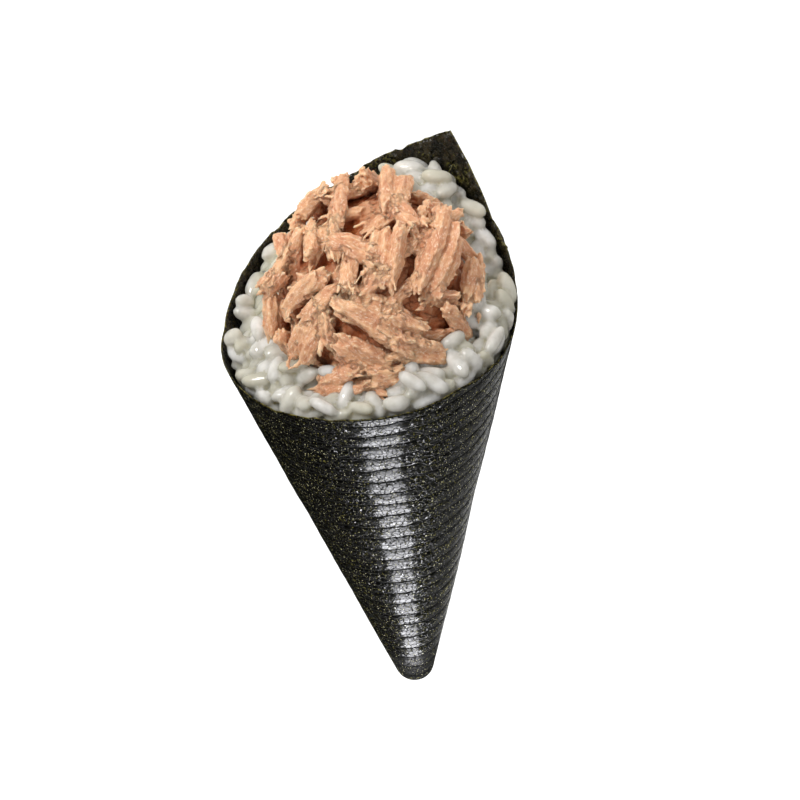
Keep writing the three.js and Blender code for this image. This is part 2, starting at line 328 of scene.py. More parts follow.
def mesh_of(name, points, faces):
    mesh = bpy.data.meshes.new(name)
    mesh.from_pydata((np.asarray(points) * MM).tolist(), [], faces)
    mesh.shade_smooth()
    return mesh


def points_of(mesh):
    points = np.empty(3 * len(mesh.vertices), dtype=np.float32)
    mesh.vertices.foreach_get("co", points)
    return points.reshape(-1, 3).astype(float) / MM


def add_values(mesh, **named):
    """Store numbers or vectors for each point of a mesh, each under its name."""
    for name, values in named.items():
        kind, key = ("FLOAT", "value") if values.ndim == 1 else ("FLOAT_VECTOR", "vector")
        data = mesh.attributes.new(name, kind, "POINT").data
        data.foreach_set(key, values.astype(np.float32).ravel())


def new_object(name, data):
    made = bpy.data.objects.new(name, data)
    bpy.context.scene.collection.objects.link(made)
    return made


def piece_of(mesh, materials, slot, *replaced):
    """Lay a mesh of the roll's frame down in the scene, in place of CAD nodes."""
    add_values(mesh, roll=points_of(mesh))
    mesh.transform(ROLL)
    for material in materials:
        mesh.materials.append(material)
    piece = new_object(mesh.name, mesh)
    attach(piece, "root")
    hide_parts(*replaced)
    return piece


def evaluated_mesh(mesh, kind, **settings):
    """A mesh with one modifier applied, under the same name."""
    name = mesh.name
    holder = new_object(name, mesh)
    modifier = holder.modifiers.new("shape", kind)
    for key, value in settings.items():
        setattr(modifier, key, value)
    evaluated = holder.evaluated_get(bpy.context.evaluated_depsgraph_get())
    made = bpy.data.meshes.new_from_object(evaluated)
    bpy.data.objects.remove(holder)
    bpy.data.meshes.remove(mesh)
    made.name = name
    return made


def simplified(mesh, most):
    """A mesh of quads with at most so many triangles."""
    return evaluated_mesh(mesh, "DECIMATE", ratio=min(1.0, most / (2 * len(mesh.polygons))))


def remeshed(points, faces, voxel, least_volume):
    """Even small quads over the outside of everything, without sealed hollows or loose scraps."""
    dense = evaluated_mesh(mesh_of("dense", points, faces), "REMESH", mode="VOXEL", voxel_size=voxel * MM)
    points = points_of(dense)
    quads = np.empty(len(dense.loops), dtype=np.int32)
    dense.loops.foreach_get("vertex_index", quads)
    quads = quads.reshape(-1, 4)
    bpy.data.meshes.remove(dense)
    # The lowest number of any point spreads through each skin.
    label = np.arange(len(points))
    while True:
        least = label[quads].min(axis=1)
        spread = label.copy()
        for k in range(4):
            np.minimum.at(spread, quads[:, k], least)
        spread = spread[spread]
        if np.array_equal(spread, label):
            break
        label = spread
    a, b, c, d = (points[quads[:, k]] for k in range(4))
    volume = (row_dots(a, np.cross(b, c)) + row_dots(a, np.cross(c, d))) / 6
    volumes = np.bincount(label[quads[:, 0]], volume, len(points))
    kept = volumes[label[quads[:, 0]]] > least_volume
    used, quads = np.unique(quads[kept], return_inverse=True)
    return points[used], quads.reshape(-1, 4)


def owners_of(points, parts):
    """The number of the part that is nearest to each point."""
    known, _ = joined(parts)
    owner = np.repeat(np.arange(len(parts)), [len(part_points) for part_points, _ in parts])
    tree = kdtree.KDTree(len(known))
    for i, point in enumerate(known):
        tree.insert(point, i)
    tree.balance()
    return owner[[tree.find(point)[1] for point in points]]


def smoothed(values, faces, rounds):
    """Average each point's values with its neighbours', a number of times."""
    count = len(values)
    first = faces.ravel()
    second = np.roll(faces, 1, axis=1).ravel()
    shared = np.bincount(first, minlength=count) + np.bincount(second, minlength=count)
    for _ in range(rounds):
        total = np.empty_like(values)
        for k in range(values.shape[1]):
            total[:, k] = np.bincount(first, values[second, k], count)
            total[:, k] += np.bincount(second, values[first, k], count)
        values = 0.5 * values + 0.5 * total / shared[:, None]
    return values


def normals_over(points, quads):
    """Each point's normal on a skin of quads."""
    a, b, c, d = (points[quads[:, k]] for k in range(4))
    across = np.cross(c - a, d - b)

    def gathered(values):
        return sum(np.bincount(quads[:, k], values, len(points)) for k in range(4))

    return unit_rows(np.stack([gathered(across[:, axis]) for axis in range(3)], axis=-1))


def standing_out(points, quads, rounds):
    """How far each point stands out of its smoothed surroundings, along its normal."""
    return row_dots(points - smoothed(points, quads, rounds), normals_over(points, quads))


class Shader:
    """A material's nodes, with short ways to add them."""

    def __init__(self, name):
        self.material = bpy.data.materials.new(name)
        self.material.use_nodes = True
        self.tree = self.material.node_tree
        self.surface = self.tree.nodes["Principled BSDF"]

    def feed(self, node, inputs):
        for socket, value in inputs.items():
            if isinstance(value, bpy.types.NodeSocket):
                self.tree.links.new(value, node.inputs[socket])
            else:
                node.inputs[socket].default_value = value

    def add(self, kind, inputs, out=0, **settings):
        node = self.tree.nodes.new("ShaderNode" + kind)
        for key, value in settings.items():
            setattr(node, key, value)
        self.feed(node, inputs)
        return node.outputs[out]

    def vectors(self, name):
        return self.add("Attribute", {}, out="Vector", attribute_name=name)

    def numbers(self, name):
        return self.add("Attribute", {}, out="Fac", attribute_name=name)

    def stretched(self, vector, stretch):
        return self.add("Mapping", {"Vector": vector, "Scale": stretch})

    def noise(self, vector, cell, detail=2.0, roughness=0.5, distortion=0.0):
        inputs = {"Vector": vector, "Scale": 1 / cell, "Detail": detail}
        inputs |= {"Roughness": roughness, "Distortion": distortion}
        return self.add("TexNoise", inputs)

    def cells(self, vector, cell, feature="F1", out="Color"):
        inputs = {"Vector": vector, "Scale": 1 / cell}
        return self.add("TexVoronoi", inputs, out=out, feature=feature)

    def spread(self, value, low, high, to_low=0.0, to_high=1.0):
        """Carry a range of a value over to another range, and hold it there."""
        inputs = {"Value": value, "From Min": low, "From Max": high, "To Min": to_low, "To Max": to_high}
        return self.add("MapRange", inputs, interpolation_type="SMOOTHSTEP")

    def maths(self, operation, first, second):
        return self.add("Math", {0: first, 1: second}, operation=operation)

    def plus(self, first, second):
        return self.maths("ADD", first, second)

    def times(self, first, second):
        return self.maths("MULTIPLY", first, second)

    def vector_maths(self, operation, inputs):
        return self.add("VectorMath", inputs, operation=operation)

    def mixed(self, share, first, second):
        """A mix of two colours. They are its node's inputs 6 and 7, and the result is its output 2."""
        return self.add("Mix", {0: share, 6: first, 7: second}, out=2, data_type="RGBA")

    def faded(self, value, low, high, first, second):
        """A colour that turns from the first to the second as a value rises from low to high."""
        return self.mixed(self.spread(value, low, high), first, second)

    def tilted(self, randoms, amount, normal=None):
        """The normal, turned by an amount of three random numbers of 0 to 1."""
        if normal is None:
            normal = self.add("NewGeometry", {}, out="Normal")
        centred = self.vector_maths("SUBTRACT", {0: randoms, 1: (0.5, 0.5, 0.5)})
        scaled = self.vector_maths("SCALE", {0: centred, "Scale": amount})
        turned = self.vector_maths("ADD", {0: normal, 1: scaled})
        return self.vector_maths("NORMALIZE", {0: turned})

    def bumps(self, *heights, normal=None):
        """The normal over several heights, laid one upon the other, each with its millimetres."""
        for height, distance in heights:
            inputs = {"Height": height, "Distance": distance * MM}
            if normal is not None:
                inputs["Normal"] = normal
            normal = self.add("Bump", inputs)
        return normal

    def finished(self, inputs):
        """The material, once its surface has these inputs."""
        self.feed(self.surface, inputs)
        return self.material


def rgb(red, green, blue):
    """A colour's linear value from its display values of 0 to 255."""
    shares = (value / 255 for value in (red, green, blue))
    linear = (((v + 0.055) / 1.055) ** 2.4 if v > 0.04045 else v / 12.92 for v in shares)
    return (*linear, 1.0)


# ---- the seaweed ----


def ring_phase(azimuth, slant):
    """Which of the rings that a mat pressed into the sheet each point is on."""
    place = around(azimuth, slant * SIN_HALF, slant)
    return slant / RING_STEP + 0.35 * noise(place, (22, 22, 14), 1) + 0.12 * noise(place, (5, 5, 4), 2)


def sheet_relief(azimuth, slant):
    """How far the sheet stands out at each point: rings, waves and fine crinkles."""
    place = around(azimuth, slant * SIN_HALF, slant)
    ring = np.abs(np.sin(math.pi * ring_phase(azimuth, slant))) ** 0.7
    strength = 0.75 + 0.45 * noise(place, (13, 13, 9), 3)
    waves = noise(place, (15, 15, 24), 4) + 0.4 * noise(place, (6, 6, 9), 5)
    crinkle = noise(place, (2.6, 2.6, 1.5), 6) + 0.6 * noise(place, (1.3, 1.3, 0.9), 7)
    near_tip = np.clip((slant - 14) / 30, 0.15, 1)
    return near_tip * (RING_HEIGHT * strength * ring + WAVE_HEIGHT * waves) + CRINKLE_HEIGHT * crinkle


def rim_notches(azimuth):
    """How far the torn edge dips below the straight cut."""
    place = around(azimuth, NOTCHED_RADIUS, 0.0)
    ragged = 0.3 * np.abs(noise(place, 2.0, 11)) + 0.16 * np.abs(noise(place, 0.5, 12))
    chips = np.clip(noise(place, 2.3, 13) - 0.35, 0, 1) * 1.3
    return ragged + chips


def sheet_columns():
    """The azimuths of the sheet's columns in degrees: even, and at each corner and beside the step."""
    fixed = [azimuth % 360 for azimuth, _ in RIM[:-1]]
    fixed += [OUTER_TURN_END - STEP_HALF, OUTER_TURN_END + STEP_HALF]
    even = [i * 360 / COLUMNS for i in range(COLUMNS)]
    apart = [a for a in even if min(abs(a - b) for b in fixed) > 0.3]
    return np.array(sorted(apart + fixed))


def seaweed_mesh():
    degrees = sheet_columns()
    azimuth = np.radians(degrees)
    count = len(azimuth)
    straight_from = TIP_RADIUS / math.tan(HALF_ANGLE)
    straight = rim_slant(degrees) - rim_notches(azimuth) - straight_from
    wound = OUTER_TURN * np.mod((OUTER_TURN_END - degrees) / 360, 1)

    def row(share, depth):
        """A ring of the sheet at a share of the way to its cut edge, and at a depth in the sheet."""
        slant = straight_from + share * straight
        out = sheet_relief(azimuth, slant) + wound - depth
        height = slant * COS_HALF - out * SIN_HALF
        return around(azimuth, slant * SIN_HALF + out * COS_HALF, height)

    def end(depth, steps):
        """The cone's round end, from its pole up to where it is straight."""
        radius = TIP_RADIUS - depth
        centre = TIP_RADIUS / SIN_HALF
        relief = sheet_relief(azimuth, np.full(count, straight_from)) + wound
        rings = []
        for k in range(1, steps + 1):
            turn = (math.pi / 2 - HALF_ANGLE) * k / steps
            out = radius + (k / steps) * relief
            rings.append(around(azimuth, out * math.sin(turn), centre - radius * math.cos(turn)))
        return np.array([0, 0, centre - radius]), rings

    # Rows are even outside, and closest at the cut edge inside.
    rows = math.ceil(straight.max() / ROW_STEP)
    shares = np.linspace(0, 1, rows + 1)[1:]
    inner_shares = [1, *np.linspace(0.99, 0.84, 14), 0.7, 0.5, 0.3, 0.12]
    outside = [row(share, 0) for share in shares]
    inside = [row(share, RIM_SHEET if share == 1 else SHEET) for share in inner_shares]
    outer_pole, outer_end = end(0, 8)
    inner_pole, inner_end = end(SHEET, 4)
    rings = [*outer_end, *outside, *inside, *reversed(inner_end)]
    points, faces = skin(outer_pole, rings, inner_pole)
    first_inner = 1 + count * (len(outer_end) + len(outside))
    # What would be below the floor is pressed flat on it.
    world = np.array(ROLL)
    heights = points @ world[2, :3] + world[2, 3] / MM
    least = np.zeros(len(points))
    least[first_inner:] = SHEET
    points -= np.outer(np.clip(least - heights, 0, None), DOWN)
    mesh = mesh_of("nori_sheet", points, faces)
    # The inner face begins at the ring of the cut edge.
    material_of = [int(min(polygon.vertices) >= first_inner - count) for polygon in mesh.polygons]
    mesh.polygons.foreach_set("material_index", material_of)
    slants = np.clip(np.hypot(np.hypot(points[:, 0], points[:, 1]), points[:, 2]), 1, None)
    from_rim = np.concatenate([
        np.full(1 + count * len(outer_end), FAR_FROM_RIM),
        *[(1 - share) * straight for share in (*shares, *inner_shares)],
        np.full(count * len(inner_end) + 1, FAR_FROM_RIM),
    ])
    add_values(mesh, ring=ring_phase(azimuth_of(points), slants), from_rim=from_rim)
    return mesh


def seaweed_material():
    shader = Shader("toasted_seaweed")
    place = shader.vectors("roll")
    swerve = shader.add("TexNoise", {"Vector": place, "Scale": 0.9, "Detail": 3.0}, out="Color")
    wavering = shader.vector_maths("ADD", {0: place, 1: swerve})
    celled = shader.stretched(wavering, (0.9, 0.9, 0.65))
    flecked = shader.stretched(place, (1, 1, 0.5))
    fine = shader.noise(place, 0.3, detail=3, roughness=0.65)
    specks = shader.noise(flecked, 0.36, roughness=0.75, distortion=0.4)
    patches = shader.noise(shader.stretched(place, (0.6, 0.6, 1.5)), 3.2, detail=3, roughness=0.6)
    threads = shader.noise(shader.stretched(wavering, (0.25, 0.25, 1.0)), 0.75, roughness=0.6)
    cracks = shader.spread(shader.cells(celled, 1.0, "DISTANCE_TO_EDGE", "Distance"), 0.015, 0.065)
    glinting = shader.spread(shader.noise(flecked, 0.6), 0.56, 0.66, 0.01, 0.8)
    wobble = shader.times(shader.noise(place, 1.8, detail=3), 0.25)
    wavy_ring = shader.plus(shader.numbers("ring"), wobble)
    from_groove = shader.maths("PINGPONG", wavy_ring, 0.5)
    groove = shader.spread(from_groove, 0.03, 0.06)
    crest = shader.spread(from_groove, 0.08, 0.5)
    between = shader.spread(shader.maths("PINGPONG", shader.times(wavy_ring, 2.0), 0.5), 0.05, 0.28)

    dark = shader.faded(fine, 0.35, 0.65, rgb(1, 1, 1), rgb(3, 3, 2))
    # Painted sheen: the rings' crests are lighter grey, standing in for the reflection that they catch.
    painted_crest_sheen = shader.mixed(shader.times(crest, between), dark, rgb(24, 24, 20))
    olive = shader.faded(patches, 0.5, 0.75, painted_crest_sheen, rgb(12, 12, 8))
    level = shader.plus(specks, shader.times(patches, 0.25))
    specked = shader.faded(level, 0.76, 0.82, olive, rgb(104, 99, 48))
    # Painted glints: pale dots in the colour stand for tiny glints on the dark sheet.
    painted_glint_dots = shader.faded(shader.noise(flecked, 0.26, detail=1), 0.69, 0.74, specked, rgb(186, 182, 142))
    grooved = shader.mixed(groove, rgb(12, 12, 6), painted_glint_dots)
    rim = shader.faded(specks, 0.5, 0.6, rgb(20, 18, 10), rgb(88, 78, 30))
    edge = shader.faded(shader.numbers("from_rim"), 0.05, 0.3, rim, grooved)
    # The sheet is smooth, with rough lines between its cells and its rings.
    uncrumpled = shader.spread(shader.numbers("ring"), 3.0, 8.0, 0.15, 1.0)
    smooth = shader.times(shader.times(cracks, groove), uncrumpled)
    roughness = shader.spread(smooth, 0.0, 1.0, 0.85, 0.12)

    normal = shader.tilted(shader.cells(celled, 1.0), 0.04)
    normal = shader.tilted(shader.cells(flecked, 0.33), glinting, normal)
    normal = shader.bumps(
        (shader.noise(place, 1.7, detail=1), 0.009),
        (threads, 0.014),
        (cracks, 0.025),
        (groove, 0.05),
        (between, 0.015),
        (crest, 0.045),
        normal=normal,
    )
    return shader.finished({"Base Color": edge, "Roughness": roughness, "IOR": 1.06, "Normal": normal})


def seaweed_inner_material():
    """The rough side of the sheet, with green crumbs on it."""
    shader = Shader("seaweed_inner_face")
    place = shader.vectors("roll")
    patches = shader.noise(place, 4.0)
    specks = shader.noise(place, 0.55, detail=3, roughness=0.7)
    folds = shader.noise(shader.stretched(place, (1, 1, 0.45)), 1.6, detail=3, roughness=0.6)
    level = shader.plus(specks, shader.times(patches, 0.8))
    dark = shader.faded(folds, 0.35, 0.65, rgb(10, 9, 4), rgb(44, 38, 20))
    crumbed = shader.faded(level, 1.02, 1.12, dark, rgb(92, 87, 38))
    rim = shader.faded(specks, 0.45, 0.6, rgb(28, 25, 12), rgb(112, 104, 46))
    edge = shader.faded(shader.numbers("from_rim"), 0.05, 0.3, rim, crumbed)
    roughness = shader.spread(specks, 0.4, 0.6, 0.2, 0.6)
    normal = shader.tilted(shader.cells(place, 0.6), 0.9)
    normal = shader.bumps((folds, 0.3), (level, 0.12), normal=normal)
    return shader.finished({"Base Color": edge, "Roughness": roughness, "IOR": 1.45, "Normal": normal})


# ---- the rice ----


def rice_core_mesh():
    """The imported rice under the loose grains, which fills the roll down to its tip."""
    directions = turns(CORE_SIDES)
    rings = [around(directions, cone_radius(height, WALL_AND_GAP), height) for height in CORE_HEIGHTS]
    for share in np.linspace(1, 0.04, 26):
        radius = share * (cone_radius(rice_edge(directions), WALL_AND_GAP) - 0.6)
        place = around(directions, radius, rice_top(directions, radius) - CORE_DEPTH)
        place[:, 2] += 0.5 * noise(place, 2.6, 21) + 0.3 * noise(place, 1.4, 22)
        rings.append(place)
    points, faces = skin(np.array([0, 0, CORE_BOTTOM]), rings, np.array([0, 0, RICE_MIDDLE - CORE_DEPTH]))
    mesh = mesh_of("rice_packed", points, faces)
    same = np.ones(len(points))
    add_values(mesh, tone=0.4 * same, crease=0.08 * same, end=0 * same, sunk=0.5 * same)
    return mesh


def hiding(centres, flake):
    """Which grains lie before a flake that faces the camera, along the sight line."""
    place, axes, length, width, _ = flake
    facing = axes[:, 2] @ toward_sight
    if facing < LEAST_FACING:
        return np.zeros(len(centres), dtype=bool)
    before = (centres - place) @ axes[:, 2] / facing
    x, y, _ = ((centres - place - np.outer(before, toward_sight)) @ axes).T
    beside = (abs(x) > length / 2 + FLAKE_MARGINS[0]) | (abs(y) > width / 2 + FLAKE_MARGINS[1])
    return ~beside & (before >= 0) & (before <= COVER)


def settle_grains():
    """Centres and directions of rice grains that lie beside each other round the heap.

    Each grain is three balls in a row. They sink, and are pushed off each other, the wall and the heap.
    """
    rng = np.random.default_rng(11)
    offsets = np.array([-BALL_STEP, 0.0, BALL_STEP])
    azimuth = rng.uniform(0, TURN, GRAINS)
    rise = LAYER_RISE * (np.arange(GRAINS) % GRAIN_LAYERS)
    wall = cone_radius(rice_edge(azimuth), WALL_AND_GAP)
    radius = wall - FIRST_GAP - rng.uniform(0, RING_WIDTH, GRAINS)
    height = rice_top(azimuth, radius) - 1.5 + rise + rng.uniform(-0.5, 0.5, GRAINS)
    centres = around(azimuth, radius, height)
    beside = wall - radius < ALONG_WALL
    turned = np.where(beside, rng.normal(0, 0.35, GRAINS), rng.uniform(0, math.pi, GRAINS))
    axes = unit_rows(around(azimuth + math.pi / 2 + turned, 1.0, rng.normal(0, 0.35, GRAINS)))
    owner = np.repeat(np.arange(GRAINS), len(offsets))
    same = owner[:, None] == owner[None, :]
    heap = HEAP_SIZE * 0.97 + BALL
    for step in range(SETTLING_STEPS):
        balls = (centres[:, None, :] + offsets[None, :, None] * axes[:, None, :]).reshape(-1, 3)
        squared = (balls**2).sum(axis=1)
        apart = np.sqrt(np.clip(squared[:, None] + squared[None, :] - 2 * balls @ balls.T, 1e-6, None))
        depth = np.where(same, 0, np.clip(2 * BALL - apart, 0, None))
        weight = depth / apart
        push = OVERLAP_PUSH * (balls * weight.sum(axis=1)[:, None] - weight @ balls)
        # Inside the seaweed
        out = np.hypot(balls[:, 0], balls[:, 1])
        beyond = np.clip(out - (cone_radius(balls[:, 2], WALL_AND_GAP - 0.3) - BALL), 0, None)
        push[:, :2] -= (beyond / out)[:, None] * balls[:, :2]
        # Above the core
        low = rice_top(azimuth_of(balls), np.minimum(out, 25)) - LOWEST_BALL + 0.8 * BALL
        push[:, 2] += CORE_PUSH * np.clip(low - balls[:, 2], 0, None)
        # Outside the heap
        share = np.linalg.norm((balls - HEAP_CENTRE) / heap, axis=1)
        push += (np.clip(1 / share - 1, 0, 0.3) * HEAP_PUSH)[:, None] * (balls - HEAP_CENTRE)
        push = push.reshape(GRAINS, len(offsets), 3)
        centres += push.mean(axis=1)
        if step < SINKING_STEPS:
            centres[:, 2] -= SINKING
        axes = unit_rows(axes + 0.5 * (push * offsets[None, :, None]).sum(axis=1) / (offsets**2).sum())
    # Behind the heap the seaweed stands higher than the rice.
    rim = rim_slant(np.degrees(azimuth_of(centres))) * COS_HALF
    kept = (centres[:, 1] < 0) | (centres[:, 2] < rim - SHOWN_WALL)
    made = flakes()
    for flake in made[: len(LARGE_FLAKES)] + made[-len(FRONT_FLAKES) :]:
        kept &= ~hiding(centres, flake)
    return centres[kept], axes[kept]


def grain_points(rng, length, width, seed):
    """One cooked grain along x: a plump spindle, slightly bent and flat, with a dent at its germ end."""
    turn = turns(GRAIN_SIDES)
    thickness = width * rng.uniform(0.84, 0.95)
    bend = rng.uniform(0.0, 0.35)
    fatter = rng.uniform(-0.12, 0.12)
    rings = []
    for x in -np.cos(np.linspace(0, math.pi, GRAIN_RINGS + 2))[1:-1]:
        reach = (1 - abs(x) ** 2.5) ** 0.5 * (1 + fatter * x) / 2
        y = reach * width * np.cos(turn) + bend * x * x
        z = reach * thickness * np.sin(turn)
        rings.append(np.stack([np.full(GRAIN_SIDES, x * length / 2), y, z], axis=-1))
    rings = np.array(rings)
    flat = rings.reshape(-1, 3)
    out = unit_rows(flat * np.array([0.25, 1, 1]))
    from_dent = (flat - np.array([length * 0.43, width * 0.3, 0])) / (0.9, 0.7, 0.9)
    dent = np.exp(-(from_dent**2).sum(axis=1))
    flat += out * (0.07 * noise(flat, 1.5, seed) - 0.3 * dent)[:, None]
    ends = [np.array([side * length / 2, bend, 0]) for side in (-1, 1)]
    return skin(ends[0], flat.reshape(rings.shape), ends[1])


def grains_mesh():
    """All the loose grains, stuck together where they touch."""
    rng = np.random.default_rng(12)
    centres, axes = settle_grains()
    parts = []
    lengths = rng.uniform(*GRAIN_LENGTH, len(centres))
    for i, (centre, axis) in enumerate(zip(centres, axes)):
        width = rng.uniform(*GRAIN_WIDTH) + 2 * SWELLING
        points, faces = grain_points(rng, lengths[i] + 2 * SWELLING, width, 300 + i)
        side = unit(np.cross(axis, rng.normal(0, 1, 3)))
        parts.append((centre + points @ np.array([axis, side, np.cross(axis, side)]), faces))
    places, quads = remeshed(*joined(parts), RICE_VOXEL, LEAST_GRAIN)
    owner = owners_of(places, parts)
    # The grains were joined swollen, so that starch fills the gaps between them.
    places = smoothed(places, quads, 2)
    places -= normals_over(places, quads) * SWELLING
    places = smoothed(places, quads, 2)
    tone = rng.uniform(0, 1, GRAINS)[owner]
    along = row_dots(places - centres[owner], axes[owner]) / (lengths[owner] / 2)
    mesh = mesh_of("rice_grains", places, quads.tolist())
    add_values(mesh, tone=tone, crease=-standing_out(places, quads, 8), end=np.abs(along))
    # How far each point lies below the rice's surface, which sets its painted shade.
    add_values(mesh, sunk=below_rice(places))
    return simplified(mesh, RICE_TRIANGLES)


def rice_material():
    shader = Shader("cooked_rice")
    place = shader.vectors("roll")
    milky = shader.faded(shader.noise(place, 2.2), 0.3, 0.7, rgb(175, 172, 165), rgb(196, 194, 189))
    ended = shader.faded(shader.numbers("end"), 0.4, 1.0, milky, rgb(164, 162, 154))
    toned = shader.spread(shader.numbers("tone"), 0.3, 1.0, 0, 0.7)
    toned = shader.mixed(toned, ended, rgb(162, 158, 140))
    # Painted shade: grains that lie deeper below the rice's surface turn olive-grey.
    painted_deep_shade = shader.faded(shader.numbers("sunk"), -1.5, 1.5, toned, rgb(184, 181, 160))
    # Painted light: the creases between grains are lighter, as if lit by light passing through the
    # grains.
    painted_crease_light = shader.faded(shader.numbers("crease"), 0.0, 0.25, painted_deep_shade, rgb(190, 184, 154))
    normal = shader.bumps((shader.noise(place, 1.5, detail=1), 0.06), (shader.noise(place, 0.4), 0.01))
    return shader.finished({
        "Base Color": painted_crease_light,
        "Roughness": shader.spread(shader.noise(place, 1.1, detail=3), 0.35, 0.65, 0.04, 0.11),
        "IOR": 1.5,
        "Subsurface Weight": 1.0,
        "Subsurface Radius": (1.0, 0.96, 0.88),
        "Subsurface Scale": 5.0 * MM,
        "Normal": normal,
    })


# ---- the tuna ----

toward_sight = np.array([0, -math.cos(SIGHT_RISE), math.sin(SIGHT_RISE)])
lean = np.array(Matrix.Rotation(-SIGHT_LEAN, 3, Vector(toward_sight)))
seen_right = lean @ np.array([1.0, 0, 0])
seen_up = lean @ np.array([0, math.sin(SIGHT_RISE), math.cos(SIGHT_RISE)])


def on_heap(direction):
    """The place and the normal of the heap's surface in a direction on the unit sphere."""
    return direction * HEAP_SIZE + HEAP_CENTRE, unit(direction / HEAP_SIZE)


def heap_level(points):
    """How far out in the heap each point is, from 0 in its middle to 1 on its surface."""
    return np.linalg.norm((points - HEAP_CENTRE) / HEAP_SIZE, axis=1)


def seen_on_heap(across, up):
    """The place and the normal of the heap's surface at a point as the camera sees it."""
    point = np.array([0, 0, MOUTH]) + across * seen_right + up * seen_up
    point = (point - HEAP_CENTRE) / HEAP_SIZE
    sight = toward_sight / HEAP_SIZE
    point -= sight * (point @ sight) / (sight @ sight)
    depth = math.sqrt(max(0, 1 - point @ point) / (sight @ sight))
    return on_heap(unit(point + sight * depth))


def frame_at(along, normal, pitch, roll):
    """Axes as columns: x along a direction and z out of the surface, then pitched and rolled."""
    x = unit(along - normal * (along @ normal))
    axes = np.stack([x, np.cross(normal, x), normal], axis=1)
    return axes @ np.array(Matrix.Rotation(-pitch, 3, "Y")) @ np.array(Matrix.Rotation(roll, 3, "X"))


def seen_flake(draw, across, up, heading, length, width, thickness, out=None):
    """A flake with the place and the heading that it is seen at."""
    place, normal = seen_on_heap(across, up)
    place = place + normal * (draw(0, 1.2) if out is None else out)
    turn = math.radians(heading)
    seen = math.cos(turn) * seen_right + math.sin(turn) * seen_up
    facing = max(toward_sight @ normal, 0.6)
    along = seen - toward_sight * (seen @ normal) / facing
    length *= min(np.linalg.norm(along), 1.4)
    axes = frame_at(along, normal, draw(-0.16, 0.16), draw(-0.25, 0.25))
    return place, axes, length, width, thickness


def flakes():
    """The same flakes as in the CAD source, and two more in front."""
    draw = seeded(5)
    made = [seen_flake(draw, *flake) for flake in LARGE_FLAKES]
    for i in range(SMALL_FLAKES):
        rise = 1 + (LOWEST_FLAKE - 1) * (i + 0.5) / SMALL_FLAKES
        golden_turn = i * math.pi * (3 - math.sqrt(5))
        place, normal = on_heap(around(golden_turn, math.sqrt(1 - rise * rise), rise))
        place = place + normal * draw(-1.5, -0.5)
        along = around(draw(0, TURN), 1, draw(-1, 1))
        size = draw(6, 9.5), draw(2.6, 4.4), draw(2, 3.2)
        axes = frame_at(along, normal, draw(-0.3, 0.3), draw(-0.4, 0.4))
        made.append((place, axes, *size))
    made += [seen_flake(draw, *flake) for flake in FRONT_FLAKES]
    return made


def block(rng, length, width, thickness):
    """An angular lump of fibres along x that narrows to one end, with both ends torn off askew."""
    count = int(rng.integers(6, 9))
    turn = (np.arange(count) + rng.uniform(-0.3, 0.3, count)) / count * TURN + rng.uniform(0, TURN)
    corner = rng.uniform(0.8, 1.15, count)
    across = corner * np.sign(np.cos(turn)) * np.abs(np.cos(turn)) ** 0.8 * width / 2
    out = corner * np.sign(np.sin(turn)) * np.abs(np.sin(turn)) ** 0.8 * thickness / 2
    narrow = rng.uniform(0.45, 0.85)
    swap = rng.choice([-1, 1])
    drift = rng.normal(0, 0.06, 2) * (width, thickness)
    rings = []
    for share in (0.0, 0.04, 0.2, 0.4, 0.6, 0.8, 0.96, 1.0):
        near_end = min(share, 1 - share)
        reach = 0.55 if near_end == 0 else (0.86 if near_end < 0.1 else 1.0)
        along = swap * (2 * share - 1)
        reach *= 1 + (narrow - 1) * max(0.0, along) ** 1.5
        reach = reach * rng.uniform(0.9, 1.08, count)
        askew = across / width * rng.uniform(-0.5, 0.5) + out / thickness * rng.uniform(-0.5, 0.5)
        torn = (askew * width + rng.uniform(-0.5, 0.5, count)) if near_end < 0.1 else 0.0
        x = (share - 0.5) * length + torn + np.zeros(count)
        y = reach * across + drift[0] * along
        rings.append(np.stack([x, y, reach * out + drift[1] * along], axis=-1))
    return skin(rings[0].mean(axis=0), rings, rings[-1].mean(axis=0))


def splinter(rng, root, way, size):
    """A thin torn shred that tapers to a point."""
    turn = turns(5)
    x = unit(way)
    side = unit(np.cross(x, rng.normal(0, 1, 3)))
    rise = np.cross(x, side)
    rings = []
    for share, reach in ((0.0, 1.0), (0.5, 0.75), (0.85, 0.4)):
        ring = np.outer(np.cos(turn), side) + 0.7 * np.outer(np.sin(turn), rise)
        rings.append(root + way * share + ring * size * reach)
    return skin(root - x * size, rings, root + way)


def flake_parts(rng, length, width, thickness):
    """A flake along x: a few blocks side by side at different heights, with shreds at the ends."""
    count = max(1, round(width / BLOCK_WIDTH))
    parts = []
    for i in range(count):
        size = width / count * (1.25 if count > 1 else 1.0)
        long = length * rng.uniform(0.78, 1.04)
        points, faces = block(rng, long, size, thickness * rng.uniform(0.8, 1.15))
        turn = rng.normal(0, 0.1)
        middle = np.array([
            rng.uniform(-0.5, 0.5) * (length - long) * 1.2,
            ((i + 0.5) / count - 0.5) * width * 0.9,
            rng.uniform(-0.16, 0.16) * thickness,
        ])
        parts.append((points @ np.array(Matrix.Rotation(-turn, 3, "Z")) + middle, faces))
    for _ in range(round(width * 1.1)):
        side = rng.choice([-1, 1])
        root = np.array([
            side * length * rng.uniform(0.28, 0.44),
            rng.uniform(-0.48, 0.48) * width,
            rng.uniform(-0.2, 0.45) * thickness,
        ])
        way = np.array([side, rng.uniform(-0.6, 0.6), rng.uniform(-0.2, 0.5)]) * rng.uniform(1.2, 2.6)
        parts.append(splinter(rng, root, way, rng.uniform(0.35, 0.6)))
    return joined(parts)


def bent(points, length, curve, twist):
    """Curve a flake down over the heap and twist it about its length."""
    x, y, z = points.T
    turn = twist * x / length
    down = curve * x**2
    turned = [x, y * np.cos(turn) - z * np.sin(turn), y * np.sin(turn) + z * np.cos(turn) - down]
    return np.stack(turned, axis=-1)


